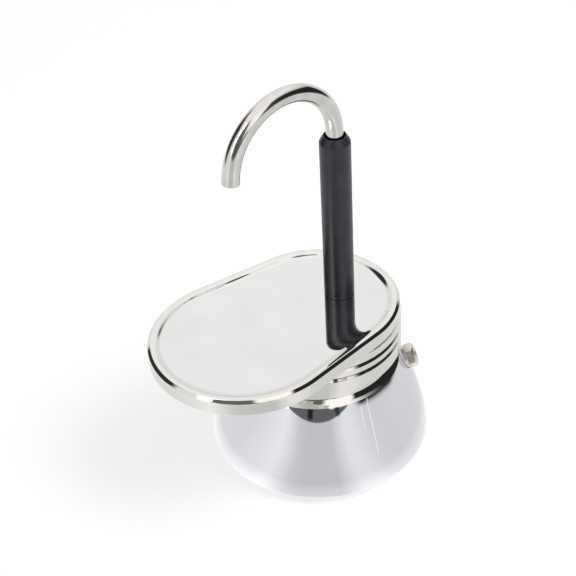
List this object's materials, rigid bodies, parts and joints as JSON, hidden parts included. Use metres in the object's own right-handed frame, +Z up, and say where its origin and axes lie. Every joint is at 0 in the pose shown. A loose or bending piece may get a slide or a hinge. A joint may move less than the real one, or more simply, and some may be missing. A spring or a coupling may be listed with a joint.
{
  "type": "moka pot",
  "caption": "Single-cup stovetop coffee maker: bell-shaped boiler, screw-on head with a cup platform, and a gooseneck spout in a black sleeve.",
  "frame": {"origin": "centre of the boiler's foot, on the surface it stands on", "axes": "+Z up along the boiler, collar and screw thread; the cup platform reaches towards -X; +Y to the side"},
  "size_m": [0.1059, 0.0806, 0.1534],
  "materials": {
    "mirror_steel": "mirror-polished stainless steel",
    "satin_steel": "fine satin-polished stainless steel",
    "inner_steel": "pressed stainless sheet, as drawn",
    "tube_steel": "polished stainless tube",
    "valve_nickel": "nickel-plated brass",
    "sleeve_black": "satin black heat-resistant plastic",
    "silicone_white": "translucent white silicone rubber",
    "spring_steel": "bright drawn spring wire"
  },
  "bodies": {
    "boiler": {"boiler_bell": "satin_steel", "boiler_base": "satin_steel", "neck_ring": "mirror_steel", "valve_boss": "valve_nickel", "valve_washer": "valve_nickel", "valve_body": "valve_nickel", "valve_retainer": "valve_nickel", "valve_spring": "spring_steel", "basket_cup": "inner_steel", "basket_sieve": "inner_steel", "basket_stem": "inner_steel"},
    "poppet": {"valve_poppet": "valve_nickel", "poppet_seal": "silicone_white"},
    "seal": {"gasket": "silicone_white", "filter_plate": "inner_steel"},
    "head": {"collar": "mirror_steel", "chamber_dome": "inner_steel", "cup_platform": "mirror_steel", "spout_tube": "tube_steel", "tube_ferrule": "inner_steel", "tube_seal": "silicone_white", "tube_nut": "inner_steel", "handle_sleeve": "sleeve_black"}
  },
  "joints": [
    {"name": "head_lift", "type": "slide", "parent": "boiler", "child": "seal", "axis": [0, 0, 1], "range_m": [0, 0.0075]},
    {"name": "head_turn", "type": "hinge", "parent": "seal", "child": "head", "pos_m": [0, 0, 0.05], "axis": [0, 0, 1], "range_deg": [0, 900]},
    {"name": "valve_lift", "type": "slide", "parent": "boiler", "child": "poppet", "axis": [0.7678, -0.5517, 0.3256], "range_m": [0, 0.001], "stiffness_N_per_m": 600, "springref_m": -0.0025, "deforming": ["valve_spring"]}
  ],
  "couplings": [
    {"joint": "head_lift", "follows": "head_turn", "m_per_rad": 0.00047746}
  ]
}
